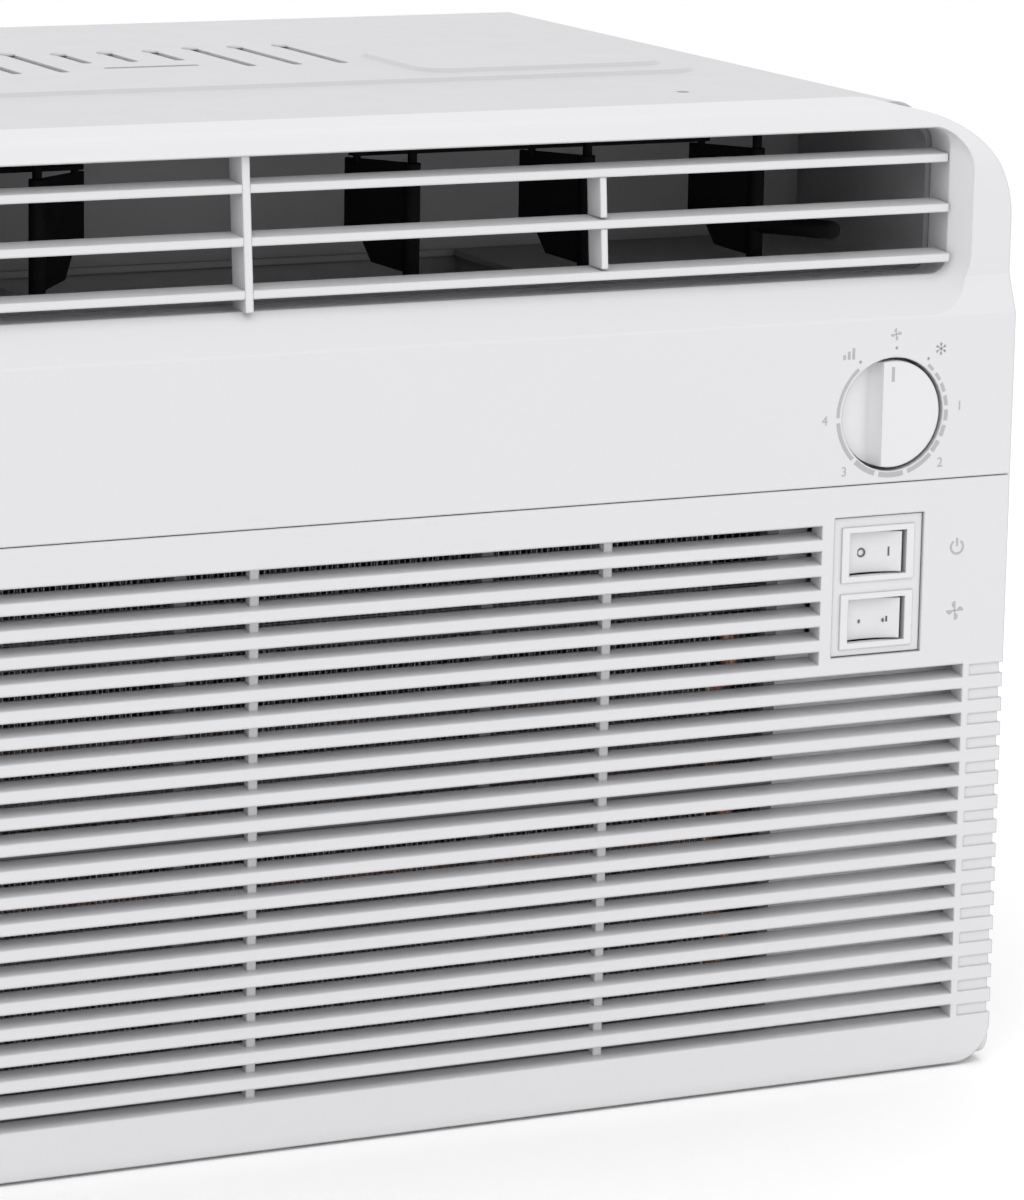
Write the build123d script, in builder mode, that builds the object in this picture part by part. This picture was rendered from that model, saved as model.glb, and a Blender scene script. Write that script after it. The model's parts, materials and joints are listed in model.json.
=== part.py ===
"""Window air conditioner: steel cabinet, plastic front, coils, fans and compressor.

Millimetres. X runs to the right, Y to the rear, Z up. The origin is the centre of the
underside. Depths are measured from the front face towards the rear.
"""

import os
from math import cos, pi, radians, sin

from build123d import *

WIDTH = 406.0
HEIGHT = 315.0
DEPTH = 345.0
FRONT = -DEPTH / 2

WALL = 2.5  # plastic mouldings
SHEET = 1.0  # cabinet steel
SIDE = WIDTH / 2

# Front: the intake panel below the seam, the control face above it, the outlet on top.
SEAM = 197.4
PANEL_TOP = 197.05
PANEL_DEEP = 16.0
FLANGE = PANEL_DEEP + 0.3  # depth of the bezel's flange behind the panel
BEZEL_BACK = 50.0
FACE_TOP = 250.0
OUTLET = (183.5, 262.0, 309.0)  # half width, bottom, top
POCKET_BACK = 12.0  # the outlet's pocket reaches this depth
POCKET_SIDE = 192.5
COLLAR_BACK = 24.0
CORNER = 35.0
THROAT_CORNER = 6.0
HINGE = (8.0, 9.0)  # depth and height of the intake panel's hinge
EAR_X = (180.0, 184.0)
LUG_X = (185.5, 188.5)
PIN_R = 2.5

# Intake slots
PITCH = 8.2
ROWS = 21
SHORT_ROWS = 6  # rows beside the switches
FIRST_TOP = 184.6
SLOT = 4.4
SLAT_DEEP = 7.0
SLAT_RISE = 1.5
SLAT_BACK = 1.6
LOUVRE_SIDE = 188.0
SWITCH_SIDE = 134.5
RIB_X = 60.0
RIB = 3.0
RIB_BACK = 3.6

# Controls
KNOB = (158.7, 219.4)
KNOB_R = 17.3
SHAFT_R = 3.0
RUN_CLEAR = 0.05
PLATE = (155.3, 164.0, 32.0, 45.0)  # centre x, centre z, width, height
ROCKERS = (174.4, 152.6)  # heights of the two rockers
ROCKER_DEPTH = 7.5
ROCKER_TILT = 6.0

# Outlet blades
BLADE_DEPTH = 36.0
BLADE_X = {"right": (5.6, 66.0, 126.4), "left": (-158.0, -118.0)}
HANDLE = {"right_blade_handle": 27.0, "left_blade_handle": 19.0}  # reach in front of the pivot
BLADE_TURN = {"right": 35.0, "left": -55.0}  # rear edge turned towards -X
BLADE_LONG = 24.0
LINK_R = 20.0  # pivot to link pin
HANDLE_Z = 277.5
HANDLE_R = 3.0
LINK_Z = 303.2
BARS = (299.2, 283.3, 267.4)

# Cabinet
CAB_SIDE = 194.0
CAB_FRONT = BEZEL_BACK + 0.3
CAB_TOP = 312.8
RAISE = 1.1

# Machinery
FAN = (-30.0, 150.0)
COMPRESSOR = (126.0, 215.0)
TUBE_R = 4.75

os.makedirs("parts", exist_ok=True)


def at(x, depth, z):
    """Point at a depth behind the front face."""
    return (x, FRONT + depth, z)


def facing(depth):
    """Plane parallel to the front: local x is X, local y is Z, extrude(-t) goes rearwards."""
    return Plane.XZ.offset(-(FRONT + depth))


def block(x, depth, z, mode=Mode.ADD):
    """Box between low and high limits."""
    with Locations(at(sum(x) / 2, sum(depth) / 2, sum(z) / 2)):
        Box(x[1] - x[0], depth[1] - depth[0], z[1] - z[0], mode=mode)


def rod_y(x, z, depth, radius, mode=Mode.ADD):
    """Cylinder along the depth."""
    with Locations(at(x, sum(depth) / 2, z)):
        Cylinder(radius, depth[1] - depth[0], rotation=(90, 0, 0), mode=mode)


def rod_x(depth, z, x, radius, mode=Mode.ADD):
    """Cylinder across the width."""
    with Locations(at(sum(x) / 2, depth, z)):
        Cylinder(radius, x[1] - x[0], rotation=(0, 90, 0), mode=mode)


def rod_z(x, depth, z, radius, mode=Mode.ADD):
    """Upright cylinder."""
    with Locations(at(x, depth, sum(z) / 2)):
        Cylinder(radius, z[1] - z[0], mode=mode)


def save(part, name):
    """Label a finished piece and write it."""
    part.label = name
    export_step(part, f"parts/{name}.step")


# ---------------------------------------------------------------- front bezel
def bezel_solid(inset):
    """The bezel's closed outer form, or the hollow inside it."""
    back = BEZEL_BACK + (1.0 if inset else 0.0)
    low = inset
    shelf = SEAM + inset
    flange = FLANGE + (WALL if inset else 0.0)
    face = inset
    nose = 19.0 - inset
    with BuildPart() as solid:
        with BuildSketch(Plane.YZ):
            with BuildLine():
                Polyline(
                    at(0, back, low)[1:],
                    at(0, flange, low)[1:],
                    at(0, flange, shelf)[1:],
                    at(0, face, shelf)[1:],
                    at(0, face, FACE_TOP - inset)[1:],
                    at(0, 5.0 + inset, OUTLET[1])[1:],
                    at(0, 5.0 + inset, HEIGHT - 19.0)[1:],
                )
                RadiusArc(
                    at(0, 5.0 + inset, HEIGHT - 19.0)[1:],
                    at(0, 24.0, HEIGHT - inset)[1:],
                    nose,
                )
                Polyline(
                    at(0, 24.0, HEIGHT - inset)[1:],
                    at(0, back, HEIGHT - inset)[1:],
                    at(0, back, low)[1:],
                )
            make_face()
        extrude(amount=SIDE, both=True)
        with BuildSketch(facing(-1)) as outline:
            with Locations((0, HEIGHT / 2)):
                Rectangle(WIDTH - 2 * inset, HEIGHT - 2 * inset)
            fillet(outline.vertices().group_by(Axis.Y)[-1], CORNER - inset)
            fillet(outline.vertices().group_by(Axis.Y)[0], 13.0 - inset)
        extrude(amount=-(BEZEL_BACK + 5), mode=Mode.INTERSECT)
    return solid.part


def pocket(grow, back):
    """Tapered pocket around the air outlet, then the straight throat behind it."""
    half, low, high = OUTLET
    with BuildPart() as form:
        with BuildSketch(facing(-0.5)):
            with Locations((0, (FACE_TOP + 312.0) / 2)):
                RectangleRounded(2 * (POCKET_SIDE + grow), 312.0 - FACE_TOP + 2 * grow, 20.0)
        with BuildSketch(facing(POCKET_BACK)):
            with Locations((0, (low + high) / 2)):
                RectangleRounded(2 * (half + grow), high - low + 2 * grow, THROAT_CORNER + grow)
        loft()
        with BuildSketch(facing(POCKET_BACK)):
            with Locations((0, (low + high) / 2)):
                RectangleRounded(2 * (half + grow), high - low + 2 * grow, THROAT_CORNER + grow)
        extrude(amount=-(back - POCKET_BACK))
    return form.part


with BuildPart() as front_bezel:
    add(bezel_solid(0))
    add(bezel_solid(WALL), mode=Mode.SUBTRACT)
    add(pocket(WALL, COLLAR_BACK) & bezel_solid(0))
    add(pocket(0, COLLAR_BACK + 1), mode=Mode.SUBTRACT)
    # Openings in the flange: the coil's, and the switches'
    block((-LOUVRE_SIDE, 124), (FLANGE - 1, FLANGE + 3), (12, 190), Mode.SUBTRACT)
    block((138, 173), (FLANGE - 1, FLANGE + 3), (140, 189), Mode.SUBTRACT)
    # Cup for the knob
    rod_y(*KNOB, (1, 11), KNOB_R + 3.6)
    rod_y(*KNOB, (-1, 9), KNOB_R + 1.1, Mode.SUBTRACT)
    rod_y(*KNOB, (8, 12), SHAFT_R + RUN_CLEAR, Mode.SUBTRACT)
    # Hinge ears for the intake panel
    for side in (-1, 1):
        ear = sorted((side * EAR_X[0], side * EAR_X[1]))
        rod_x(*HINGE, ear, 4.6)
        block(ear, (HINGE[0], FLANGE + 1), (6.5, 12.5))
    rod_x(*HINGE, (-SIDE + 10, SIDE - 10), PIN_R + RUN_CLEAR, Mode.SUBTRACT)
save(front_bezel.part, "front_bezel")

# ---------------------------------------------------------------- intake panel
LOW = 0.6


def slot_top(row):
    """Height of a slot's upper edge at the front."""
    return FIRST_TOP - PITCH * row


def panel_outline(inset):
    """Front outline of the panel with rounded lower corners."""
    with BuildSketch() as outline:
        with Locations((0, (LOW + PANEL_TOP) / 2)):
            Rectangle(WIDTH - 2 * inset, PANEL_TOP - LOW - 2 * inset)
        fillet(outline.vertices().group_by(Axis.Y)[0], 13.0 - inset)
    return outline.sketch


def louvre_cut(x_low, x_high, rows, deep=SLAT_DEEP + 0.1):
    """The slanted slots of one bay, down to a depth."""
    with BuildPart() as cut:
        with BuildSketch(Plane.YZ.offset(x_low)):
            for row in rows:
                top = slot_top(row)
                share = deep / SLAT_DEEP
                rise = share * (SLAT_RISE + PITCH - SLOT - SLAT_BACK)
                with BuildLine():
                    Polyline(
                        at(0, -0.1, top)[1:],
                        at(0, -0.1, top - SLOT)[1:],
                        at(0, deep, top - SLOT + share * SLAT_RISE)[1:],
                        at(0, deep, top + rise)[1:],
                        close=True,
                    )
                make_face()
        extrude(amount=x_high - x_low)
    return cut.part


with BuildPart() as intake_panel:
    with BuildSketch(facing(0)):
        add(panel_outline(0))
    extrude(amount=-PANEL_DEEP)
    with BuildSketch(facing(WALL)):
        add(panel_outline(WALL))
    extrude(amount=-PANEL_DEEP, mode=Mode.SUBTRACT)
    # The louvred fields are thicker than the plain margins
    block((-LOUVRE_SIDE - 2, SWITCH_SIDE + 2), (WALL - 0.5, SLAT_DEEP), (14, 192))
    block((SWITCH_SIDE, LOUVRE_SIDE + 2), (WALL - 0.5, SLAT_DEEP), (14, 138))
    upper, lower = range(SHORT_ROWS), range(SHORT_ROWS, ROWS)
    inner_rib, outer_rib = RIB_X - RIB / 2, RIB_X + RIB / 2
    for rows, right in ((upper, SWITCH_SIDE), (lower, LOUVRE_SIDE)):
        bays = ((-LOUVRE_SIDE, -outer_rib), (-inner_rib, inner_rib), (outer_rib, right))
        for bay in bays:
            add(louvre_cut(*bay, rows), mode=Mode.SUBTRACT)
        # The ribs stand back from the slats' front edges
        add(louvre_cut(-LOUVRE_SIDE, right, rows, RIB_BACK), mode=Mode.SUBTRACT)
    # Grooves that carry the slot lines round the corners
    groove = SLOT - 0.8
    for side, rows in ((1, lower), (-1, range(ROWS))):
        heights = [slot_top(row) - SLOT / 2 for row in rows]
        with BuildSketch(facing(-1)):
            with Locations(*[(side * (LOUVRE_SIDE + SIDE + 3.5) / 2, z) for z in heights]):
                Rectangle(SIDE - LOUVRE_SIDE - 1.5, groove)
        extrude(amount=-1.5, mode=Mode.SUBTRACT)
        with BuildSketch(facing(-1)):
            with Locations(*[(side * SIDE, z) for z in heights]):
                Rectangle(2.2, groove)
        extrude(amount=-PANEL_DEEP - 2, mode=Mode.SUBTRACT)
    # Window for the switch plate
    x, z, wide, high = PLATE
    window = ((x - wide / 2 - 0.4, x + wide / 2 + 0.4), (z - high / 2 - 0.4, z + high / 2 + 0.4))
    block(window[0], (-1, SLAT_DEEP + 1), window[1], Mode.SUBTRACT)
    # The lower rear is cut back round the hinge so that the panel can tilt
    block((-SIDE - 1, SIDE + 1), (HINGE[0], PANEL_DEEP + 1), (0, HINGE[1]), Mode.SUBTRACT)
    for side in (-1, 1):
        rod_x(*HINGE, sorted((side * (SIDE - WALL), side * (SIDE - 0.5))), 7.9)
        lug = sorted((side * LUG_X[0], side * LUG_X[1]))
        rod_x(*HINGE, lug, 5.0)
        block(lug, (WALL - 0.5, HINGE[0]), (LOW + 1, HINGE[1] + 5))
        rod_x(*HINGE, sorted((side * (EAR_X[0] - 0.5), side * LUG_X[0])), PIN_R)
save(intake_panel.part, "intake_panel")

FILTER_X = (-185.0, 123.0)
FILTER_Z = (15.0, 187.0)
FILTER_DEPTH = (8.0, 14.0)
with BuildPart() as filter_frame:
    block(FILTER_X, FILTER_DEPTH, FILTER_Z)
    for left, right in ((-181.0, -84.5), (-80.5, 18.5), (22.5, 119.0)):
        for bottom, top in ((19.0, 99.0), (103.0, 183.0)):
            block((left, right), (7, 15), (bottom, top), Mode.SUBTRACT)
save(filter_frame.part, "filter_frame")

with BuildPart() as filter_mesh:
    for left, right in ((-180.9, -84.6), (-80.4, 18.4), (22.6, 118.9)):
        for bottom, top in ((19.1, 98.9), (103.1, 182.9)):
            block((left, right), (10.6, 11.4), (bottom, top))
save(filter_mesh.part, "filter_mesh")

# ---------------------------------------------------------------- controls
with BuildPart() as switch_plate:
    x, z, wide, high = PLATE
    block((x - wide / 2, x + wide / 2), (0.9, 3.0), (z - high / 2, z + high / 2))
    for rocker_z in ROCKERS:
        block((x - 13.2, x + 13.2), (0.3, 0.9), (rocker_z - 9.0, rocker_z + 9.0))
        block((x - 10.4, x + 10.4), (0, 4), (rocker_z - 7.1, rocker_z + 7.1), Mode.SUBTRACT)
save(switch_plate.part, "switch_plate")


def rocker(height):
    """Rocker key with a dished face, resting with its left side pressed in."""
    x = PLATE[0]
    tilt = radians(ROCKER_TILT)
    tilted = Plane(origin=at(x, ROCKER_DEPTH, height), x_dir=(cos(tilt), -sin(tilt), 0), z_dir=(0, 0, 1))
    with BuildPart() as key:
        with BuildSketch(tilted.offset(-6.6)):
            with BuildLine():
                ThreePointArc((-9.4, -6.0), (0, -4.4), (9.4, -6.0))
                Polyline((9.4, -6.0), (9.4, -2.5), (4.5, 2.2), (-4.5, 2.2), (-9.4, -2.5), (-9.4, -6.0))
            make_face()
        extrude(amount=13.2)
        rod_z(x, ROCKER_DEPTH, (height - 8.3, height + 8.3), 1.2)
    return key.part


def switch_body(height):
    """Switch housing behind the plate, with its terminals."""
    x = PLATE[0]
    with BuildPart() as body:
        block((x - 12.0, x + 12.0), (3.1, 22.0), (height - 9.6, height + 9.6))
        block((x - 10.4, x + 10.4), (3.0, 13.0), (height - 7.1, height + 7.1), Mode.SUBTRACT)
        rod_z(x, ROCKER_DEPTH, (height - 8.8, height + 8.8), 1.2 + RUN_CLEAR, Mode.SUBTRACT)
        for shift in (-6.0, 0.0, 6.0):
            block((x + shift - 0.4, x + shift + 0.4), (21.5, 29.0), (height - 3.0, height + 3.0))
    return body.part


save(rocker(ROCKERS[0]), "power_rocker")
save(rocker(ROCKERS[1]), "speed_rocker")
save(switch_body(ROCKERS[0]), "power_switch")
save(switch_body(ROCKERS[1]), "speed_switch")

KNOB_BACK = 8.0
with BuildPart() as thermostat_knob:
    rod_y(*KNOB, (0.3, KNOB_BACK), KNOB_R)
    fillet(thermostat_knob.edges().group_by(Axis.Y)[0], 0.6)
    for side in (-1, 1):
        with BuildSketch(Plane.XY.offset(KNOB[1] - 20)):
            with BuildLine():
                RadiusArc(
                    (KNOB[0] + side * 3.6, FRONT + 0.2),
                    (KNOB[0] + side * 6.4, FRONT + 4.6),
                    side * 6.0,
                )
                Polyline(
                    (KNOB[0] + side * 6.4, FRONT + 4.6),
                    (KNOB[0] + side * 19.0, FRONT + 2.2),
                    (KNOB[0] + side * 19.0, FRONT - 1.0),
                    (KNOB[0] + side * 3.6, FRONT - 1.0),
                    (KNOB[0] + side * 3.6, FRONT + 0.2),
                )
            make_face()
        extrude(amount=40, mode=Mode.SUBTRACT)
save(thermostat_knob.part, "thermostat_knob")

with BuildPart() as thermostat_shaft:
    rod_y(*KNOB, (KNOB_BACK, 36), SHAFT_R)
save(thermostat_shaft.part, "thermostat_shaft")

with BuildPart() as thermostat:
    block((KNOB[0] - 17, KNOB[0] + 17), (22, 46), (KNOB[1] - 13, KNOB[1] + 13))
    rod_y(*KNOB, (21, 38), SHAFT_R + RUN_CLEAR, Mode.SUBTRACT)
save(thermostat.part, "thermostat")

with BuildPart() as sensing_bulb:
    rod_x(46.5, 200.0, (20, 90), 3.0)
save(sensing_bulb.part, "sensing_bulb")

with BuildPart() as control_box:
    block((129, 191), (FLANGE + 3, 96), (100, 252))
    block((130, 190), (FLANGE + 2, 95), (101, 251), Mode.SUBTRACT)
save(control_box.part, "control_box")

with BuildPart() as run_capacitor:
    rod_z(160, 72, (101.2, 172), 18)
    for shift in (-8, 8):
        block((160 + shift - 3, 160 + shift + 3), (71.6, 72.4), (171.5, 180))
save(run_capacitor.part, "run_capacitor")

# ---------------------------------------------------------------- air outlet
RIB_HALF = 1.3
BAR_END = OUTLET[0] - 0.4
BAR_LONG = 10.0
BAR_EDGE = 1.35  # half height of a bar's front edge
LEAN = (8.8, 13.2)  # depth of the grille's front at the outlet's bottom and top


def grille_front(z):
    """The grille leans back towards its top."""
    share = (z - OUTLET[1]) / (OUTLET[2] - OUTLET[1])
    return LEAN[0] + (LEAN[1] - LEAN[0]) * share


with BuildPart() as outlet_bars:
    for z in BARS:
        near = grille_front(z)
        far = near + BAR_LONG
        for left, right in ((-BAR_END, -RIB_X - RIB_HALF), (-RIB_X + RIB_HALF, BAR_END)):
            with BuildSketch(Plane.YZ.offset(left)):
                with BuildLine():
                    Polyline(
                        at(0, near, z - BAR_EDGE)[1:],
                        at(0, far, z + 0.6)[1:],
                        at(0, far, z + 2.0)[1:],
                        at(0, near, z + BAR_EDGE)[1:],
                        close=True,
                    )
                make_face()
            extrude(amount=right - left)
save(outlet_bars.part, "outlet_bars")


def upright(x, half, low, high, inset):
    """Leaning upright strip of the grille between two heights."""
    with BuildPart() as strip:
        with BuildSketch(Plane.YZ.offset(x - half)):
            with BuildLine():
                Polyline(
                    at(0, grille_front(low) + inset, low)[1:],
                    at(0, grille_front(low) + BAR_LONG - inset, low)[1:],
                    at(0, grille_front(high) + BAR_LONG - inset, high)[1:],
                    at(0, grille_front(high) + inset, high)[1:],
                    close=True,
                )
            make_face()
        extrude(amount=2 * half)
    return strip.part


save(upright(-RIB_X, RIB_HALF, OUTLET[1], OUTLET[2], 0), "outlet_rib")

with BuildPart() as outlet_tie:
    for upper, lower in zip(BARS, BARS[1:]):
        add(upright(RIB_X, 1.1, lower + 2.05, upper - BAR_EDGE - 0.05, 0.4))
save(outlet_tie.part, "outlet_tie")

DUCT_HALF = 184.0
DUCT_Z = (260.2, 310.8)
DUCT_BACK = 112.0
DUCT_WALL = 2.2
PINS = (*BLADE_X["left"], *BLADE_X["right"])
with BuildPart() as outlet_duct:
    inner_z = (DUCT_Z[0] + DUCT_WALL, DUCT_Z[1] - DUCT_WALL)
    tall = DUCT_Z[1] - DUCT_Z[0]
    with BuildSketch(facing(COLLAR_BACK + 0.3)):
        with Locations((0, sum(DUCT_Z) / 2)):
            RectangleRounded(2 * DUCT_HALF, tall, 9)
    extrude(amount=-(DUCT_BACK - COLLAR_BACK - 0.3))
    with BuildSketch(facing(COLLAR_BACK)):
        with Locations((0, sum(DUCT_Z) / 2)):
            RectangleRounded(2 * (DUCT_HALF - DUCT_WALL), tall - 2 * DUCT_WALL, 9 - DUCT_WALL)
    extrude(amount=-(DUCT_BACK - DUCT_WALL - COLLAR_BACK), mode=Mode.SUBTRACT)
    block((-114, 54), (62, 108), (DUCT_Z[0] - 1, inner_z[0] + 1), Mode.SUBTRACT)
    for x in PINS:
        rod_z(x, BLADE_DEPTH, (DUCT_Z[0] - 1, DUCT_Z[1] + 1), 1.5 + RUN_CLEAR, Mode.SUBTRACT)
save(outlet_duct.part, "outlet_duct")


def heading(group):
    """Unit vector from a blade's pivot to its rear edge."""
    turn = radians(BLADE_TURN[group])
    return (-sin(turn), cos(turn))


def link_pin(group, x):
    """Plan position of the link pin of a blade."""
    across, along = heading(group)
    return (x + LINK_R * across, FRONT + BLADE_DEPTH + LINK_R * along)


def blade(group, x, reach):
    """Upright vane with pivots above and below, a link pin and perhaps a handle."""
    across, along = heading(group)
    flat = Plane(origin=at(x, BLADE_DEPTH, 0), x_dir=(across, along, 0), z_dir=(along, -across, 0))
    with BuildPart() as vane:
        with BuildSketch(flat.offset(-0.8)):
            with BuildLine():
                Polyline(
                    (-2.0, 267.5),
                    (3.0, 267.5),
                    (14.0, 269.5),
                    (19.0, 279.0),
                    (BLADE_LONG, 279.5),
                    (BLADE_LONG, 301.5),
                    (-2.0, 301.5),
                    close=True,
                )
            make_face()
        extrude(amount=1.6)
        rod_z(x, BLADE_DEPTH, (260.6, 310.4), 1.5)
        rod_z(x, BLADE_DEPTH, (266.0, 301.5), 2.6)
        pin_x, pin_y = link_pin(group, x)
        with Locations((pin_x, pin_y, 302.5)):
            Cylinder(1.2, 5.0)
        if reach:
            with Locations(flat * Location((-reach / 2, HANDLE_Z, 0), (0, 90, 0))):
                Cylinder(HANDLE_R, reach)
            with Locations(flat * Location((-reach, HANDLE_Z, 0))):
                Sphere(HANDLE_R)
    return vane.part


def link(group):
    """Flat rod that joins one group's blades."""
    points = [link_pin(group, x) for x in BLADE_X[group]]
    with BuildPart() as bar:
        y = points[0][1]
        with BuildSketch(Plane.XY.offset(LINK_Z - 0.7)):
            with Locations(((points[0][0] + points[-1][0]) / 2, y)):
                SlotCenterToCenter(points[-1][0] - points[0][0], 5.6)
            with Locations(*points):
                Circle(1.2 + RUN_CLEAR, mode=Mode.SUBTRACT)
        extrude(amount=1.4)
    return bar.part


BLADE_NAMES = {"right": ("right_blade_inner", "right_blade_middle", "right_blade_handle"),
               "left": ("left_blade_handle", "left_blade_inner")}
for group, names in BLADE_NAMES.items():
    for name, x in zip(names, BLADE_X[group]):
        save(blade(group, x, HANDLE.get(name, 0)), name)
    save(link(group), f"{group}_blade_link")

# ---------------------------------------------------------------- cabinet and base
HOLE_R = 2.1
RAIL_X, RAIL_DEPTH = 130.0, 95.0
CURTAIN_Z = (60.0, 260.0)
SCREWS = [(side, depth) for side in (-1, 1) for depth in (75.0, 325.0)]
SCREW_Z = 8.0
GLAND = (68.0, 26.0)  # depth and height of the cord's gland
VENT_X = -14.0
VENT_PITCH = 16.8


def raised(x, depth, base):
    """Low plateau with sloped edges, as pressed into sheet steel."""
    with BuildPart() as form:
        with BuildSketch(Plane.XY.offset(base - 0.2)):
            with Locations((sum(x) / 2, FRONT + sum(depth) / 2)):
                RectangleRounded(x[1] - x[0], depth[1] - depth[0], 12)
        extrude(amount=RAISE + 0.2, taper=55)
    return form.part


with BuildPart() as cabinet:
    with BuildSketch(facing(CAB_FRONT)) as shell:
        with Locations((0, CAB_TOP / 2)):
            Rectangle(2 * CAB_SIDE, CAB_TOP)
        fillet(shell.vertices().group_by(Axis.Y)[-1], 9)
    extrude(amount=-(DEPTH - CAB_FRONT))
    add(raised((-165, 165), (145, 303), CAB_TOP))
    add(raised((66, 160), (160, 222), CAB_TOP + RAISE))
    with BuildSketch(facing(CAB_FRONT - 1)) as hollow:
        with Locations((0, CAB_TOP / 2 - SHEET)):
            Rectangle(2 * (CAB_SIDE - SHEET), CAB_TOP)
        fillet(hollow.vertices().group_by(Axis.Y)[-1], 8)
    extrude(amount=-(DEPTH + 2 - CAB_FRONT), mode=Mode.SUBTRACT)
    # Fore-and-aft vents in the top, the middle three shorter, and one across in front
    with BuildSketch(Plane.XY.offset(CAB_TOP - 5)):
        for index in range(9):
            middle = index in (3, 4, 5)
            length, depth = (26.0, 232.0) if middle else (54.0, 223.0)
            with Locations((VENT_X + (index - 4) * VENT_PITCH, FRONT + depth)):
                SlotOverall(length, 3.4, rotation=90)
        with Locations((VENT_X, FRONT + 204)):
            SlotOverall(34, 3.4)
    extrude(amount=12, mode=Mode.SUBTRACT)
    # Air slots for the outdoor fan, both sides
    with BuildSketch(Plane.YZ.offset(-CAB_SIDE - 2)):
        with Locations((FRONT + 226, 150)):
            with GridLocations(52, 14, 2, 12):
                SlotOverall(42, 5)
    extrude(amount=2 * CAB_SIDE + 4, mode=Mode.SUBTRACT)
    # Screw holes: top rail, side curtains, base
    for side in (-1, 1):
        rod_z(side * RAIL_X, RAIL_DEPTH, (CAB_TOP - 3, CAB_TOP + 3), HOLE_R, Mode.SUBTRACT)
        for z in CURTAIN_Z:
            rod_x(RAIL_DEPTH, z, sorted((side * 190, side * 196)), HOLE_R, Mode.SUBTRACT)
    for side, depth in SCREWS:
        rod_x(depth, SCREW_Z, sorted((side * 190, side * 196)), 1.95, Mode.SUBTRACT)
    rod_x(*GLAND, (190, 196), 6.0, Mode.SUBTRACT)
save(cabinet.part, "cabinet")

PAN_SIDE = 192.6
BASE_X, BASE_DEPTHS = 170.0, (75.0, 315.0)
DRAIN = (-150.0, 290.0)
with BuildPart() as base_pan:
    block((-PAN_SIDE, PAN_SIDE), (52, 344), (0, 14))
    block((-PAN_SIDE + 1.2, PAN_SIDE - 1.2), (53.2, 342.8), (1.2, 15), Mode.SUBTRACT)
    for side in (-1, 1):
        for depth in BASE_DEPTHS:
            rod_z(side * BASE_X, depth, (-1, 3), 3.2, Mode.SUBTRACT)
    rod_z(*DRAIN, (-1, 3), 6.0, Mode.SUBTRACT)
    for side, depth in SCREWS:
        rod_x(depth, SCREW_Z, sorted((side * 190, side * 194)), 1.95, Mode.SUBTRACT)
save(base_pan.part, "base_pan")

with BuildPart() as cabinet_screws:
    for side, depth in SCREWS:
        rod_x(depth, SCREW_Z, sorted((side * 188, side * 194.05)), 1.9)
        rod_x(depth, SCREW_Z, sorted((side * 194.05, side * 196.3)), 4.0)
save(cabinet_screws.part, "cabinet_screws")

with BuildPart() as cord_gland:
    rod_x(*GLAND, (190, 194.1), 5.9)
    rod_x(*GLAND, (194.1, 197.1), 8.5)
    rod_x(*GLAND, (189, 198), 4.0, Mode.SUBTRACT)
save(cord_gland.part, "cord_gland")

with BuildPart() as rear_guard:
    block((-191, 191), (343.2, 344.4), (14.3, 309))
    with BuildSketch(facing(342)):
        with Locations((0, 161.5)):
            with GridLocations(31, 13.5, 12, 21):
                RectangleRounded(27.5, 10, 2)
    extrude(amount=-4, mode=Mode.SUBTRACT)
save(rear_guard.part, "rear_guard")

with BuildPart() as bulkhead:
    block((-191, 191), (125, 126.2), (1.5, 309))
    rod_y(*FAN, (124, 128), 12, Mode.SUBTRACT)
    rod_y(150, 30, (124, 128), 8, Mode.SUBTRACT)
    rod_y(181, 50, (124, 128), 4, Mode.SUBTRACT)
save(bulkhead.part, "bulkhead")


# ---------------------------------------------------------------- coils
def coil(name, x, depth, z, columns, rows):
    """Finned block, its two end plates and its hairpin tubes."""
    pitch = (z[1] - z[0]) / rows
    heights = [z[0] + pitch * (row + 0.5) for row in range(rows)]
    ends = ((x[0] - 2.4, x[0] - 1.2), (x[1] + 1.2, x[1] + 2.4))
    with BuildPart() as fins:
        block(x, depth, z)
    with BuildPart() as plates:
        for end in ends:
            block(end, (depth[0] - 0.8, depth[1] + 0.8), (z[0] - 2, z[1] + 2))
    with BuildPart() as tubes:
        for column in columns:
            for height in heights:
                rod_x(column, height, (ends[0][0] - 2, ends[1][1] + 2), TUBE_R)
            for row in range(rows - 1):
                right = row % 2 == 0
                side = ends[1][1] + 2 if right else ends[0][0] - 2
                with BuildSketch(Plane.YZ.offset(side)):
                    with Locations(at(0, column, heights[row])[1:]):
                        Circle(TUBE_R)
                turn = Axis(at(side, column, heights[row] + pitch / 2), (0, 1, 0))
                revolve(axis=turn, revolution_arc=-180 if right else 180)
    fins_cut = fins.part
    for column in columns:
        for height in heights:
            tube = Pos(*at(0, column, height)) * Rot(0, 90, 0) * Cylinder(TUBE_R, 420)
            fins_cut -= tube
            plates.part -= tube
    save(fins_cut, f"{name}_fins")
    save(plates.part, f"{name}_end_plates")
    save(tubes.part, f"{name}_tubes")


coil("evaporator", (-176.0, 104.0), (22.0, 45.0), (18.0, 186.0), (33.5,), 7)
coil("condenser", (-166.0, 158.0), (309.0, 333.0), (20.0, 300.0), (321.0,), 10)

# ---------------------------------------------------------------- blower and outdoor fan
SCROLL_X = (-118.0, 58.0)
SCROLL_DEPTH = (58.0, 112.0)
SCROLL_Z = (62.0, 260.0)
with BuildPart() as blower_scroll:
    block(SCROLL_X, SCROLL_DEPTH, SCROLL_Z)
    block((SCROLL_X[0] + 2, SCROLL_X[1] - 2), (60, 110), (SCROLL_Z[0] + 2, 261), Mode.SUBTRACT)
    rod_y(*FAN, (57, 61), 60, Mode.SUBTRACT)
    rod_y(*FAN, (109, 113), 10, Mode.SUBTRACT)
save(blower_scroll.part, "blower_scroll")

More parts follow.
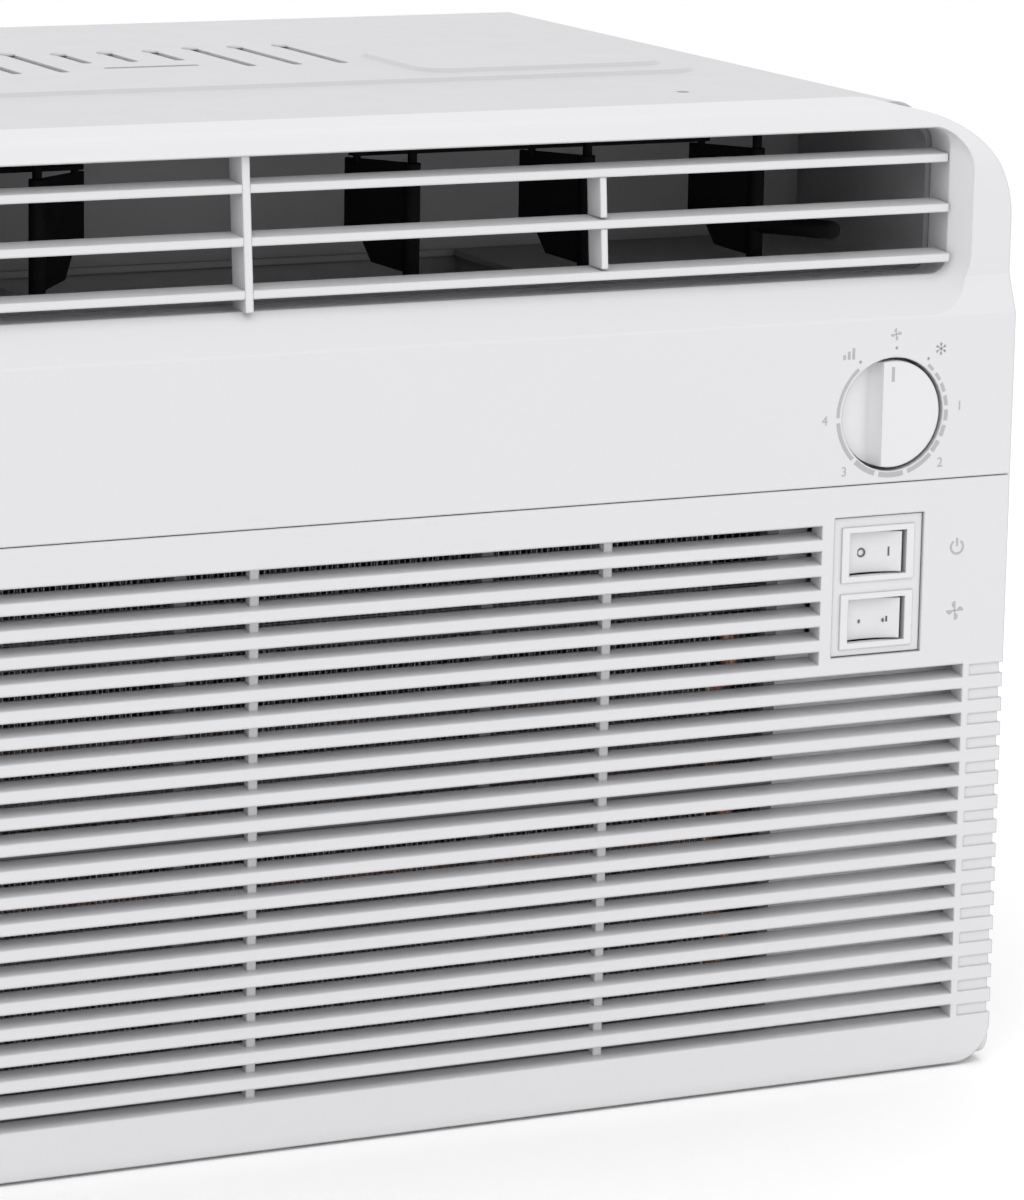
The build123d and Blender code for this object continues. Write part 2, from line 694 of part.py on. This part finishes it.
MOTOR_R = 42.0
with BuildPart() as fan_motor:
    rod_y(*FAN, (190, 250), MOTOR_R)
    fillet(fan_motor.edges().filter_by(GeomType.CIRCLE), 8)
    rod_y(*FAN, (182, 258), 12)
    rod_y(*FAN, (181, 259), 4 + RUN_CLEAR, Mode.SUBTRACT)
save(fan_motor.part, "fan_motor")

with BuildPart() as motor_bracket:
    for depth in (204.0, 234.0):
        block((-76, 16), (depth, depth + 2), (1.3, 132))
    block((-76, 16), (206, 234), (1.3, 3.3))
    rod_y(*FAN, (200, 240), MOTOR_R, Mode.SUBTRACT)
save(motor_bracket.part, "motor_bracket")

with BuildPart() as fan_shaft:
    rod_y(*FAN, (64, 304), 4)
save(fan_shaft.part, "fan_shaft")

WHEEL_R = 70.0
with BuildPart() as blower_wheel:
    rod_y(*FAN, (101, 103), WHEEL_R)
    rod_y(*FAN, (78, 103), 9)
    rod_y(*FAN, (63, 66), WHEEL_R)
    rod_y(*FAN, (62, 67), 56, Mode.SUBTRACT)
    with BuildSketch(facing(65)):
        with Locations((FAN[0], FAN[1])):
            with PolarLocations(63, 28):
                Rectangle(12, 1.2, rotation=35)
    extrude(amount=-37)
    rod_y(*FAN, (60, 110), 4, Mode.SUBTRACT)
save(blower_wheel.part, "blower_wheel")

RING = (108.0, 111.0)
with BuildPart() as condenser_fan:
    rod_y(*FAN, (283, 301), RING[1])
    rod_y(*FAN, (282, 302), RING[0], Mode.SUBTRACT)
    rod_y(*FAN, (280, 302), 20)
    for index in range(5):
        angle = index * 72.0
        pitchfork = Location(at(FAN[0], 292, FAN[1]), (0, angle, 0)) * Location((64.5, 0, 0), (28, 0, 0))
        with Locations(pitchfork):
            Box(91, 1.8, 30)
    rod_y(*FAN, (270, 310), 4, Mode.SUBTRACT)
save(condenser_fan.part, "condenser_fan")

with BuildPart() as fan_shroud:
    block((-191, 158), (291, 292.2), (14.3, 309))
    rod_y(*FAN, (290, 294), RING[1] + 3, Mode.SUBTRACT)
save(fan_shroud.part, "fan_shroud")

# ---------------------------------------------------------------- refrigerant circuit
FEET_TURN = [2 * pi * k / 3 for k in range(3)]
FEET = [(COMPRESSOR[0] + 56 * sin(t), COMPRESSOR[1] + 56 * cos(t)) for t in FEET_TURN]
with BuildPart() as compressor:
    rod_z(*COMPRESSOR, (16, 186), 50)
    fillet(compressor.edges().filter_by(GeomType.CIRCLE), 22)
    rod_z(*COMPRESSOR, (90, 94), 51)
    block((COMPRESSOR[0] - 22, COMPRESSOR[0] + 22), (COMPRESSOR[1] - 15, COMPRESSOR[1] + 15), (12, 20))
    for x, depth in FEET:
        rod_z(x, depth, (12, 14.5), 12)
    with BuildSketch(Plane.XY.offset(12)):
        with Locations((COMPRESSOR[0], FRONT + COMPRESSOR[1])):
            Circle(46)
    extrude(amount=2.5)
    for x, depth in FEET:
        rod_z(x, depth, (11, 15), 4, Mode.SUBTRACT)
save(compressor.part, "compressor")

with BuildPart() as compressor_grommets:
    for x, depth in FEET:
        rod_z(x, depth, (1.3, 11.9), 8)
        rod_z(x, depth, (0, 13), 3, Mode.SUBTRACT)
save(compressor_grommets.part, "compressor_grommets")

with BuildPart() as compressor_studs:
    for x, depth in FEET:
        rod_z(x, depth, (1.3, 22), 2.9)
        rod_z(x, depth, (14.6, 19), 6)
save(compressor_studs.part, "compressor_studs")

with BuildPart() as terminal_cover:
    block((COMPRESSOR[0] - 14, COMPRESSOR[0] + 14), (COMPRESSOR[1] - 62, COMPRESSOR[1] - 50.5), (110, 150))
save(terminal_cover.part, "terminal_cover")

with BuildPart() as accumulator:
    rod_z(52, 240, (40, 150), 19)
    fillet(accumulator.edges().filter_by(GeomType.CIRCLE), 10)
save(accumulator.part, "accumulator")


def pipe(name, radius, bend, points):
    """Bent copper tube through a list of (x, depth, z) corners."""
    with BuildPart() as tube:
        with BuildLine() as route:
            FilletPolyline(*[at(*point) for point in points], radius=bend)
        start = Plane(origin=route.line @ 0, z_dir=route.line % 0)
        with BuildSketch(start):
            Circle(radius)
        sweep()
    save(tube.part, name)


pipe("suction_line", 4.0, 9.0,
     [(120, 38.5, 8), (150, 38.5, 8), (150, 38.5, 30), (150, 140, 30), (52, 140, 30), (52, 140, 190),
      (52, 240, 190), (52, 240, 150.2)])
pipe("discharge_line", 3.2, 4.0,
     [(126, 215, 186.2), (126, 215, 225), (178, 215, 225), (178, 321, 225), (172, 321, 225)])
pipe("capillary_tube", 1.2, 5.0, [(172, 321, 50), (181, 321, 50), (181, 112.2, 50)])

with BuildPart() as filter_drier:
    rod_y(181, 50, (60, 112), 7.5)
    fillet(filter_drier.edges().filter_by(GeomType.CIRCLE), 3)
save(filter_drier.part, "filter_drier")

print("nodes", len(os.listdir("parts")))
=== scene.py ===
"""Looks for the window air conditioner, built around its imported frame."""

import json
from math import cos, pi, radians, sin

import bmesh
import bpy
from mathutils import Matrix, Vector


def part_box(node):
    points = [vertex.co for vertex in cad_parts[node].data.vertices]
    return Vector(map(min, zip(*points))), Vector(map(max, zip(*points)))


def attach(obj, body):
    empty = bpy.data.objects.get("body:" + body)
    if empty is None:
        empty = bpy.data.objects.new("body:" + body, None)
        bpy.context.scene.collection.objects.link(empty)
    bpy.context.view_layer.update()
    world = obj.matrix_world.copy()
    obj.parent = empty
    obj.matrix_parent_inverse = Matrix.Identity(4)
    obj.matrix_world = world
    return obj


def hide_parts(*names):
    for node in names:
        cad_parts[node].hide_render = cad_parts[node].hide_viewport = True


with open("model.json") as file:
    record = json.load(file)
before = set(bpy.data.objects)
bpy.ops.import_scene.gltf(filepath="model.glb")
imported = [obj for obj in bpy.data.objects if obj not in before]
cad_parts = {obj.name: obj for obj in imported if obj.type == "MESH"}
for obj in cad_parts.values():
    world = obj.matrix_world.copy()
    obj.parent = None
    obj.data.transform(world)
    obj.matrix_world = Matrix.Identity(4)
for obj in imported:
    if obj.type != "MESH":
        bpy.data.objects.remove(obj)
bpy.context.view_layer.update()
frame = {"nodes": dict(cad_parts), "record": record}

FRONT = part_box("intake_panel")[0][1]  # y of the front face

# Camera: direction from the object, distance and lens
AZIMUTH = radians(-25.77)
ELEVATION = radians(12.0)
ROLL = radians(1.05)
CAMERA_AT = Vector((-0.6828, -1.6390, 0.5151))
LENS = 161.0

# Controls, in the object's own measures
KNOB = (0.1587, 0.2194)
KEYS = {"power_key": 0.1744, "speed_key": 0.1526}
KEY_X = 0.1553
KEY_TILT = radians(6.0)
KEY_AXIS = 0.0075  # depth of the axis that the keys rock about
KEY_FACE = 0.00487  # from that axis to the keys' face
KEY_MARK = 0.0048  # from the middle of a key to its marks
LEGEND_X = 0.1842
INK_HALF = 0.00006  # half the thickness of a print


# ---------------------------------------------------------------- materials
def surface(name, colour, rough, metallic=0.0, grain=900.0, bump=0.04, tone=0.03, edge=0.0006,
            corner_shade=0.0, streak=None, coat=0.0, gloss=0.5):
    """Procedural finish: tone drift, fine grain, rounded edges and painted shade darkening the colour in
    corners.
    """
    mat = bpy.data.materials.new(name)
    mat.use_nodes = True
    nodes, links = mat.node_tree.nodes, mat.node_tree.links
    shader = nodes["Principled BSDF"]
    shader.inputs["Metallic"].default_value = metallic
    shader.inputs["Coat Weight"].default_value = coat
    shader.inputs["Specular IOR Level"].default_value = gloss
    place = nodes.new("ShaderNodeTexCoord")
    source = place.outputs["Object"]
    if streak:
        squeeze = nodes.new("ShaderNodeMapping")
        squeeze.inputs["Scale"].default_value = streak
        links.new(source, squeeze.inputs["Vector"])
        source = squeeze.outputs["Vector"]

    def noise(scale, detail):
        node = nodes.new("ShaderNodeTexNoise")
        node.inputs["Scale"].default_value = scale
        node.inputs["Detail"].default_value = detail
        links.new(source, node.inputs["Vector"])
        return node.outputs["Fac"]

    drift = nodes.new("ShaderNodeMix")
    drift.data_type = "RGBA"
    drift.inputs["A"].default_value = (*[c * (1 - tone) for c in colour], 1)
    drift.inputs["B"].default_value = (*[min(1, c * (1 + tone)) for c in colour], 1)
    links.new(noise(14, 3), drift.inputs["Factor"])
    final = drift.outputs["Result"]
    # Painted shade: an ambient occlusion node darkens the colour in corners and creases, by the given
    # share.
    if corner_shade:
        shade = nodes.new("ShaderNodeAmbientOcclusion")
        shade.samples = 6
        shade.inputs["Distance"].default_value = 0.005
        grey = nodes.new("ShaderNodeMix")
        grey.data_type = "RGBA"
        grey.inputs["A"].default_value = (*[c * (1 - corner_shade) for c in colour], 1)
        links.new(shade.outputs["AO"], grey.inputs["Factor"])
        links.new(final, grey.inputs["B"])
        final = grey.outputs["Result"]
    links.new(final, shader.inputs["Base Color"])

    polish = nodes.new("ShaderNodeMapRange")
    polish.inputs["To Min"].default_value = max(0.05, rough - 0.06)
    polish.inputs["To Max"].default_value = min(1.0, rough + 0.06)
    links.new(noise(60, 4), polish.inputs["Value"])
    links.new(polish.outputs["Result"], shader.inputs["Roughness"])

    rounded = nodes.new("ShaderNodeBevel")
    rounded.samples = 4
    rounded.inputs["Radius"].default_value = edge
    relief = nodes.new("ShaderNodeBump")
    relief.inputs["Strength"].default_value = bump
    relief.inputs["Distance"].default_value = 0.0004
    links.new(noise(grain, 2), relief.inputs["Height"])
    links.new(rounded.outputs["Normal"], relief.inputs["Normal"])
    links.new(relief.outputs["Normal"], shader.inputs["Normal"])
    return mat


# Where a finish takes a shading share, that share is painted shade darkened into its corners and creases.
FINISH = {
    "white_plastic": surface("white_plastic", (0.67, 0.67, 0.685), 0.42, bump=0.05, tone=0.012,
                             edge=0.0009, corner_shade=0.25),
    "control_plastic": surface("control_plastic", (0.70, 0.70, 0.715), 0.36, bump=0.03, tone=0.012,
                               edge=0.0005, corner_shade=0.3),
    "white_steel": surface("white_steel", (0.53, 0.53, 0.545), 0.36, grain=420, bump=0.10, tone=0.015,
                           edge=0.0012, corner_shade=0.1),
    "galvanised_steel": surface("galvanised_steel", (0.52, 0.53, 0.55), 0.38, 0.9, grain=160, bump=0.08,
                                tone=0.12, edge=0.0004),
    "screw_steel": surface("screw_steel", (0.50, 0.50, 0.52), 0.3, 1.0, grain=700, bump=0.06, tone=0.06,
                           edge=0.0004),
    "black_plastic": surface("black_plastic", (0.004, 0.004, 0.0045), 0.62, grain=1100, bump=0.06,
                             tone=0.2, edge=0.0004, gloss=0.05),
    "duct_plastic": surface("duct_plastic", (0.31, 0.31, 0.32), 0.6, grain=500, bump=0.1, tone=0.1,
                            edge=0.0006, corner_shade=0.4),
    "fan_plastic": surface("fan_plastic", (0.03, 0.03, 0.033), 0.45, grain=600, bump=0.1, tone=0.15,
                           edge=0.0005),
    "filter_plastic": surface("filter_plastic", (0.16, 0.16, 0.165), 0.55, bump=0.08, tone=0.08),
    "filter_net": surface("filter_net", (0.10, 0.10, 0.105), 0.8, bump=0.1, tone=0.1, edge=0.0001),
    "fin_aluminium": surface("fin_aluminium", (0.66, 0.67, 0.69), 0.32, 0.95, bump=0.05, tone=0.06,
                             edge=0.0001, streak=(1, 1, 0.08)),
    "copper": surface("copper", (0.63, 0.30, 0.18), 0.34, 1.0, grain=220, bump=0.05, tone=0.22,
                      edge=0.0003),
    "black_paint": surface("black_paint", (0.015, 0.015, 0.016), 0.32, grain=260, bump=0.18, tone=0.2,
                           coat=0.3),
    "capacitor_can": surface("capacitor_can", (0.60, 0.61, 0.63), 0.28, 1.0, grain=300, bump=0.05,
                             tone=0.05, streak=(1, 1, 0.1)),
    "rubber": surface("rubber", (0.02, 0.02, 0.02), 0.75, grain=700, bump=0.15, tone=0.2),
}
INK = surface("printed_grey", (0.42, 0.42, 0.44), 0.5, bump=0.02, tone=0.06, edge=0.0001)
DARK_INK = surface("printed_dark", (0.10, 0.10, 0.11), 0.5, bump=0.02, tone=0.06, edge=0.0001)

for row in frame["record"]["subparts"]:
    shown = frame["nodes"][row["node"]]
    for place in shown.material_slots:
        place.material = FINISH[row["material_slot"]]


# ---------------------------------------------------------------- mesh helpers
def piece(name, points, faces, body, slot, finish=None):
    """A mesh piece that rides on a body."""
    mesh = bpy.data.meshes.new(name)
    mesh.from_pydata([tuple(p) for p in points], [], faces)
    whole = bmesh.new()
    whole.from_mesh(mesh)
    bmesh.ops.recalc_face_normals(whole, faces=whole.faces)
    whole.to_mesh(mesh)
    whole.free()
    mesh.update()
    made = bpy.data.objects.new(name, mesh)
    bpy.context.scene.collection.objects.link(made)
    made.data.materials.append(finish or FINISH[slot])
    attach(made, body)
    return made


def slab(points, faces, low, high):
    """Append a box between two corners."""
    first = len(points)
    for z in (low[2], high[2]):
        points.extend(((low[0], low[1], z), (high[0], low[1], z)))
        points.extend(((high[0], high[1], z), (low[0], high[1], z)))
    quads = ((0, 3, 2, 1), (4, 5, 6, 7), (0, 1, 5, 4), (1, 2, 6, 5), (2, 3, 7, 6), (3, 0, 4, 7))
    faces.extend([tuple(first + i for i in quad) for quad in quads])


def flat_shape(points, faces, outline, depth, thick):
    """Append a closed flat outline given as (x, z), standing a little proud of a front plane."""
    first, count = len(points), len(outline)
    points.extend([(x, depth - thick, z) for x, z in outline])
    points.extend([(x, depth + thick, z) for x, z in outline])
    faces.append(tuple(first + i for i in range(count)))
    faces.append(tuple(first + count + i for i in reversed(range(count))))
    for i in range(count):
        j = (i + 1) % count
        faces.append((first + i, first + count + i, first + count + j, first + j))


def band(centre, inner, outer, start, end):
    """Outline of a ring's sector; angles run clockwise from the top, in degrees."""
    steps = max(3, int((end - start) / 4))
    angles = [radians(start + (end - start) * k / steps) for k in range(steps + 1)]
    out = [(centre[0] + outer * sin(a), centre[1] + outer * cos(a)) for a in angles]
    back = [(centre[0] + inner * sin(a), centre[1] + inner * cos(a)) for a in reversed(angles)]
    return out + back


def stroke(centre, start, end, width):
    """Outline of a straight stroke between two offsets from a centre."""
    a = Vector((centre[0] + start[0], centre[1] + start[1]))
    b = Vector((centre[0] + end[0], centre[1] + end[1]))
    side = Vector((-(b - a).y, (b - a).x)).normalized() * width / 2
    return [tuple(a + side), tuple(b + side), tuple(b - side), tuple(a - side)]


def print_on(name, outlines, body="root", depth=FRONT, thick=INK_HALF, ink=INK,
             slot="control_plastic"):
    """Printed marks as one thin piece."""
    points, faces = [], []
    for outline in outlines:
        flat_shape(points, faces, outline, depth, thick)
    return piece(name, points, faces, body, slot, ink)


# ---------------------------------------------------------------- dial and legends
def polar(angle, radius):
    """Point round the knob, clockwise from the top."""
    return (KNOB[0] + radius * sin(radians(angle)), KNOB[1] + radius * cos(radians(angle)))


def fan_icon(centre, size):
    """Four swept blades round a hub."""
    shapes = [band(centre, 0.0, size * 0.16, 0, 359)]
    for quarter in range(4):
        turn = radians(90 * quarter)
        outline = []
        for step in range(9):
            t = step / 8
            wide = 0.32 * sin(pi * t)
            outline.append((0.18 + 0.82 * t, wide + 0.10 * t))
        outline.append((0.95, -0.06))
        outline.append((0.2, -0.06))
        shapes.append([(centre[0] + size * (x * cos(turn) - z * sin(turn)),
                        centre[1] + size * (x * sin(turn) + z * cos(turn))) for x, z in outline])
    return shapes


def flake_icon(centre, size):
    """Six-armed frost mark."""
    shapes = []
    for arm in range(6):
        a = radians(60 * arm)
        tip = (size * sin(a), size * cos(a))
        shapes.append(stroke(centre, (0, 0), tip, size * 0.16))
        for turn in (-40, 40):
            b = a + radians(turn)
            root = (tip[0] * 0.6, tip[1] * 0.6)
            end = (root[0] + size * 0.3 * sin(b), root[1] + size * 0.3 * cos(b))
            shapes.append(stroke(centre, root, end, size * 0.13))
    return shapes


def steps_icon(centre, size, count):
    """Rising bars."""
    shapes = []
    for k in range(count):
        x = (k - (count - 1) / 2) * size * 0.55
        foot = -size * 0.6
        shapes.append(stroke(centre, (x, foot), (x, foot + size * (0.5 + 0.35 * k)), size * 0.3))
    return shapes


def power_icon(centre, size):
    """Broken ring with an upright stroke."""
    ring = band(centre, size * 0.72, size, 35, 325)
    return [ring, stroke(centre, (0, 0.1 * size), (0, size * 1.15), size * 0.26)]


# The scale, in degrees clockwise from the top: short ticks, long arcs and the dots of three settings
TICKS = (43, 55, 67, 80, 94, 109, 125)
TICK_RADII = (0.0193, 0.0203)
ARCS = ((134, 162, 0.0190), (167, 193, 0.0188), (198, 222, 0.0188), (226, 265, 0.0191), (270, 320, 0.0193))
ARC_OUTER = 0.0204
DOTS = (2, 36, 325)
DOT_AT, DOT_RADIUS = 0.0214, 0.0005
NUMBERS = ((1, 87), (2, 133), (3, 224), (4, 268))
NUMBER_AT, NUMBER_SIZE = 0.0246, 0.0044

marks = []
for index, angle in enumerate(TICKS):
    half = 3.6 + 0.35 * index
    marks.append(band(KNOB, TICK_RADII[0] - 0.00008 * index, TICK_RADII[1], angle - half, angle + half))
for start, end, inner in ARCS:
    marks.append(band(KNOB, inner, ARC_OUTER, start, end))
for angle in DOTS:
    marks.append(band(polar(angle, DOT_AT), 0.0, DOT_RADIUS, 0, 359))
print_on("dial_scale", marks)
print_on("dial_fan_mark", fan_icon(polar(1, 0.0258), 0.0020))
print_on("dial_cool_mark", flake_icon(polar(40, 0.0265), 0.0021))
print_on("dial_most_mark", steps_icon(polar(321, 0.0262), 0.0030, 3))
# The legends beside the switches stand on the panel, so they tilt with it
print_on("power_legend", power_icon((LEGEND_X, 0.1745), 0.0026), "intake_door", slot="white_plastic")
print_on("fan_legend", fan_icon((LEGEND_X, 0.1535), 0.0032), "intake_door", slot="white_plastic")

for number, angle in NUMBERS:
    text = bpy.data.curves.new(f"dial_number_{number}", "FONT")
    text.body = str(number)
    text.size = NUMBER_SIZE
    text.extrude = INK_HALF
    text.align_x = "CENTER"
    text.align_y = "CENTER"
    label = bpy.data.objects.new(f"dial_number_{number}", text)
    bpy.context.scene.collection.objects.link(label)
    x, z = polar(angle, NUMBER_AT)
    label.location = (x, FRONT, z)
    label.rotation_euler = (pi / 2, 0, 0)
    label.data.materials.append(INK)
    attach(label, "root")

print_on("knob_pointer", [stroke(KNOB, (0, 0.0105), (0, 0.0152), 0.0010)], "knob", FRONT + 0.0003)


def key_mark(name, body, across, outlines):
    """Printed mark on a rocker key, turned with the key's resting tilt."""
    mark = print_on(name, outlines, body, 0.0, 0.00015, DARK_INK)
    depth = FRONT + KEY_AXIS - KEY_FACE * cos(KEY_TILT) - across * sin(KEY_TILT)
    turn = Matrix.Rotation(-KEY_TILT, 4, "Z")
    place = Matrix.Translation((KEY_X + across * cos(KEY_TILT), depth, KEYS[body]))
    mark.data.transform(place @ turn)


key_mark("off_mark", "power_key", -KEY_MARK, [band((0, 0), 0.0010, 0.0015, 0, 359)])
key_mark("on_mark", "power_key", KEY_MARK, [stroke((0, 0), (0, -0.0015), (0, 0.0015), 0.0006)])
key_mark("low_mark", "speed_key", -KEY_MARK, steps_icon((0, 0), 0.0022, 1))
key_mark("high_mark", "speed_key", KEY_MARK, steps_icon((0, 0), 0.0022, 3))


# ---------------------------------------------------------------- coils and filter
FIN_PITCH = 0.0019
FIN_THICK = 0.00016
FIN_WAVE = 0.0003
FIN_WAVES = 6


def fin_pack(node):
    """Thin waved fins in place of a coil's solid core."""
    low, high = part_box(node)
    points, faces = [], []
    count = int((high[0] - low[0]) / FIN_PITCH)
    for index in range(count + 1):
        x = low[0] + index * FIN_PITCH
        first = len(points)
        for k in range(FIN_WAVES + 1):
            y = low[1] + (high[1] - low[1]) * k / FIN_WAVES
            shift = FIN_WAVE if k % 2 else -FIN_WAVE
            for side in (0, FIN_THICK):
                for z in (low[2], high[2]):
                    points.append((x + shift + side, y, z))
        for k in range(FIN_WAVES):
            a, b = first + 4 * k, first + 4 * (k + 1)
            faces.extend(((a, a + 1, b + 1, b), (a + 2, b + 2, b + 3, a + 3)))
            faces.extend(((a + 1, a + 3, b + 3, b + 1), (a, b, b + 2, a + 2)))
        last = first + 4 * FIN_WAVES
        faces.extend(((first, first + 2, first + 3, first + 1), (last, last + 1, last + 3, last + 2)))
    pack = piece(f"{node}_pack", points, faces, "root", "fin_aluminium")
    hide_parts(node)


fin_pack("evaporator_fins")
fin_pack("condenser_fins")

NET_PITCH = 0.0026
THREAD = 0.00022
low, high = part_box("filter_mesh")
points, faces = [], []
across = int((high[0] - low[0]) / NET_PITCH)
up = int((high[2] - low[2]) / NET_PITCH)
middle = (low[1] + high[1]) / 2
for k in range(across + 1):
    x = low[0] + k * NET_PITCH
    slab(points, faces, (x, middle - THREAD, low[2]), (x + 2 * THREAD, middle, high[2]))
for k in range(up + 1):
    z = low[2] + k * NET_PITCH
    slab(points, faces, (low[0], middle, z), (high[0], middle + THREAD, z + 2 * THREAD))
net = piece("filter_net_threads", points, faces, "intake_door", "filter_net")
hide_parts("filter_mesh")


# ---------------------------------------------------------------- pressed details of the cabinet
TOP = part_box("cabinet")[1][2]  # top of the pressed pads


def dome(points, faces, centre, half_x, half_y, high):
    """Append a low pressed mound with an oval outline."""
    rings, spokes = 4, 16
    first = len(points)
    points.append((centre[0], centre[1], centre[2] + high))
    for ring in range(1, rings + 1):
        t = ring / rings
        lift = high * (1 - t * t)
        for spoke in range(spokes):
            a = 2 * pi * spoke / spokes
            across, along = half_x * t * cos(a), half_y * t * sin(a)
            points.append((centre[0] + across, centre[1] + along, centre[2] + lift))
    for spoke in range(spokes):
        nxt = (spoke + 1) % spokes
        faces.append((first, first + 1 + spoke, first + 1 + nxt))
        for ring in range(rings - 1):
            a = first + 1 + ring * spokes
            b = a + spokes
            faces.append((a + spoke, b + spoke, b + nxt, a + nxt))
    faces.append(tuple(first + 1 + (rings - 1) * spokes + k for k in reversed(range(spokes))))


VENT_X, VENT_PITCH = -0.014, 0.0168
SHORT_VENTS = (3, 4, 5)
VENT_REAR = {True: 0.2475, False: 0.2525}  # depth of the dimple behind a short or a long vent
points, faces = [], []
for index in range(9):
    x = VENT_X + (index - 4) * VENT_PITCH
    y = FRONT + VENT_REAR[index in SHORT_VENTS]
    dome(points, faces, (x, y, TOP - 0.0012), 0.0030, 0.0042, 0.0010)
dimples = piece("vent_dimples", points, faces, "root", "white_steel")
dimples.data.polygons.foreach_set("use_smooth", [True] * len(dimples.data.polygons))

# Front flange of the cabinet: it closes the step between the sheet's edge and the bezel's back
BEZEL_BACK = 0.050
FLANGE_THICK = 0.0003
FLANGE_FOOT = 0.0015
BEZEL_SIDE = 0.2028
BEZEL_CORNER = (0.168, 0.280, 0.0348)  # centre and radius of the bezel's rounded corner
CORNER_SWEEP = 42  # degrees of that corner below the cabinet's own corner
CORNER_RISE = 0.0238
SHEET_SIDE = 0.193  # inside of the cabinet's side
SHEET_TOP = TOP - 0.0022  # the sheet's top below the pressed pads
STEPS = 8

pairs = [((BEZEL_SIDE, FLANGE_FOOT), (SHEET_SIDE, FLANGE_FOOT))]
for k in range(STEPS + 1):
    a = radians(CORNER_SWEEP * k / STEPS)
    x = BEZEL_CORNER[0] + BEZEL_CORNER[2] * cos(a)
    z = BEZEL_CORNER[1] + BEZEL_CORNER[2] * sin(a)
    pairs.append(((x, z), (SHEET_SIDE, BEZEL_CORNER[1] + CORNER_RISE * k / STEPS)))
centre = (SHEET_SIDE - 0.008, SHEET_TOP - 0.009)
for k in range(STEPS + 1):
    a = radians(90 * k / STEPS)
    pairs.append(tuple((centre[0] + r * cos(a), centre[1] + r * sin(a)) for r in (0.009, 0.008)))
pairs += [((-out[0], out[1]), (-into[0], into[1])) for out, into in reversed(pairs)]
points, faces = [], []
for pair in pairs:
    for x, z in pair:
        points.extend([(x, FRONT + BEZEL_BACK + thick, z) for thick in (0, FLANGE_THICK)])
for k in range(len(pairs) - 1):
    a, b = 4 * k, 4 * (k + 1)
    faces.extend(((a, a + 2, b + 2, b), (a + 1, b + 1, b + 3, a + 3)))
    faces.extend(((a, b, b + 1, a + 1), (a + 2, a + 3, b + 3, b + 2)))
last = 4 * (len(pairs) - 1)
faces.extend(((0, 1, 3, 2), (last, last + 2, last + 3, last + 1)))
piece("cabinet_front_flange", points, faces, "root", "white_steel")


# ---------------------------------------------------------------- floor, light and camera
floor_mesh = bpy.data.meshes.new("floor")
REACH = 6.0
corners = [(-REACH, -REACH, 0), (REACH, -REACH, 0), (REACH, REACH, 0), (-REACH, REACH, 0)]
floor_mesh.from_pydata(corners, [], [(0, 1, 2, 3)])
floor = bpy.data.objects.new("floor", floor_mesh)
floor.location.z = -0.0005
bpy.context.scene.collection.objects.link(floor)
floor.data.materials.append(surface("pale_floor", (0.985, 0.985, 0.985), 0.8, tone=0.005, bump=0.02))


def lamp(name, place, aim, size, power):
    """Soft rectangular light."""
    data = bpy.data.lights.new(name, "AREA")
    data.energy = power
    data.size = size
    made = bpy.data.objects.new(name, data)
    bpy.context.scene.collection.objects.link(made)
    made.location = place
    made.rotation_mode = "QUATERNION"
    made.rotation_quaternion = (Vector(aim) - Vector(place)).to_track_quat("-Z", "Y")


AIM = (0, 0, 0.15)
lamp("key", (-0.3, -1.1, 2.2), AIM, 2.0, 11)
lamp("fill", (1.7, -1.5, 0.8), AIM, 1.4, 3)
lamp("rim", (0.6, 1.6, 1.8), AIM, 1.2, 1.5)

world = bpy.data.worlds.new("studio")
world.use_nodes = True
world.node_tree.nodes["Background"].inputs["Color"].default_value = (1.0, 1.0, 1.0, 1)
world.node_tree.nodes["Background"].inputs["Strength"].default_value = 1.0
bpy.context.scene.world = world
bpy.context.scene.view_settings.view_transform = "Standard"

back = Vector((sin(AZIMUTH) * cos(ELEVATION), -cos(AZIMUTH) * cos(ELEVATION), sin(ELEVATION)))
level = Vector((cos(AZIMUTH), sin(AZIMUTH), 0))
rise = back.cross(level)
right = cos(ROLL) * level + sin(ROLL) * rise
upward = cos(ROLL) * rise - sin(ROLL) * level
camera = bpy.data.objects.new("camera", bpy.data.cameras.new("camera"))
camera.data.lens = LENS
camera.data.sensor_width = 36
camera.matrix_world = Matrix.Translation(CAMERA_AT) @ Matrix((right, upward, back)).transposed().to_4x4()
bpy.context.scene.collection.objects.link(camera)
bpy.context.scene.camera = camera
